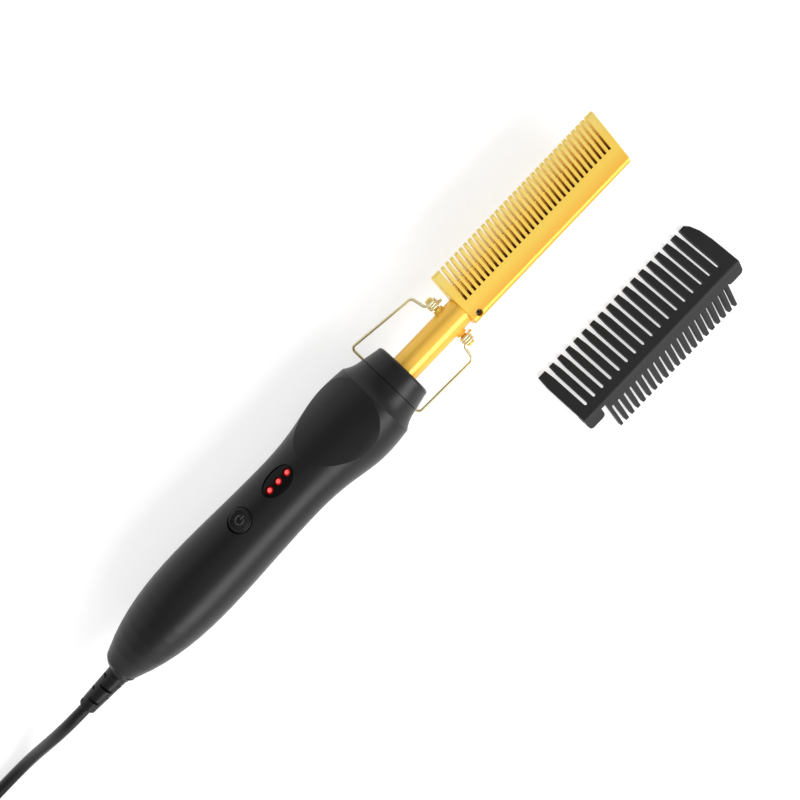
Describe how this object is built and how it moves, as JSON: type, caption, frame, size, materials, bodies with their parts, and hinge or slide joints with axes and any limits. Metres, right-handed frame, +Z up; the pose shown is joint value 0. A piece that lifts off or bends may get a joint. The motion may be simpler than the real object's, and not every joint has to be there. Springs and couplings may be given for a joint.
{
  "type": "hot comb",
  "caption": "Electric hot comb: metal comb head on a barrel, waisted handle with a button and lamp window, folding wire stand, mains lead with plug, and a loose clip-on comb guard.",
  "frame": {"origin": "on the table, under the middle of the box around the tool and its guard; the lead, coil and plug lie outside that box", "axes": "+X along the barrel towards the comb, +Y to the side that the metal teeth point to, +Z up off the table"},
  "size_m": [0.466, 0.1369, 0.037],
  "materials": {
    "handle_plastic": "soft-touch matte black",
    "collar_plastic": "satin black",
    "insulator": "matte",
    "zinc_steel": "zinc plated",
    "gold_metal": "gold satin plating",
    "dark_steel": "dark",
    "insulator_film": "amber film",
    "electrode": "rolled",
    "heater_chip": "sintered",
    "lead_sleeve": "heat-resistant sleeve",
    "fuse_body": "matte",
    "wire_steel": "pale gold plated wire",
    "board": "solder mask",
    "switch_plastic": "moulded",
    "button_plastic": "satin",
    "window_plastic": "gloss black",
    "lamp_lens": "diffused lens",
    "guard_plastic": "fine grain black",
    "cord_rubber": "satin black",
    "tie_plastic": "moulded",
    "pin_metal": "nickel plated"
  },
  "bodies": {
    "handle": {"handle_upper_shell": "handle_plastic", "handle_lower_shell": "handle_plastic", "collar_ring": "collar_plastic", "barrel_bushing": "insulator", "barrel_flange": "zinc_steel", "barrel_tube": "gold_metal", "head_adapter": "gold_metal", "comb_head": "gold_metal", "head_screw": "dark_steel", "heater_film": "insulator_film", "heater_electrodes": "electrode", "ptc_chips": "heater_chip", "heater_leads": "lead_sleeve", "thermal_fuse": "fuse_body", "stand_studs": "gold_metal", "circuit_board": "board", "board_screws": "zinc_steel", "tact_switch": "switch_plastic", "led_window": "window_plastic", "status_leds": "lamp_lens", "shell_screws": "dark_steel", "strain_relief": "cord_rubber", "mains_leads": "cord_rubber", "cord_clamp": "switch_plastic", "clamp_screws": "zinc_steel", "power_cord": "cord_rubber", "cord_coil": "cord_rubber", "cord_tie": "tie_plastic", "plug_body": "cord_rubber", "plug_pins": "pin_metal"},
    "stand": {"stand_bail": "wire_steel"},
    "button": {"power_button": "button_plastic", "switch_plunger": "switch_plastic"},
    "guard": {"comb_guard": "guard_plastic"}
  },
  "joints": [
    {"name": "stand_hinge", "type": "hinge", "parent": "handle", "child": "stand", "pos_m": [0.05318, 0.03479, 0.0188], "axis": [0, -1, 0], "range_deg": [-3, 82]},
    {"name": "button_press", "type": "slide", "parent": "handle", "child": "button", "axis": [0, -0.5, -0.866], "range_m": [0, 0.0005], "stiffness_N_per_m": 500},
    {"name": "guard_lift", "type": "slide", "parent": "handle", "child": "guard", "axis": [0, 0, 1], "range_m": [0, 0.06]}
  ]
}
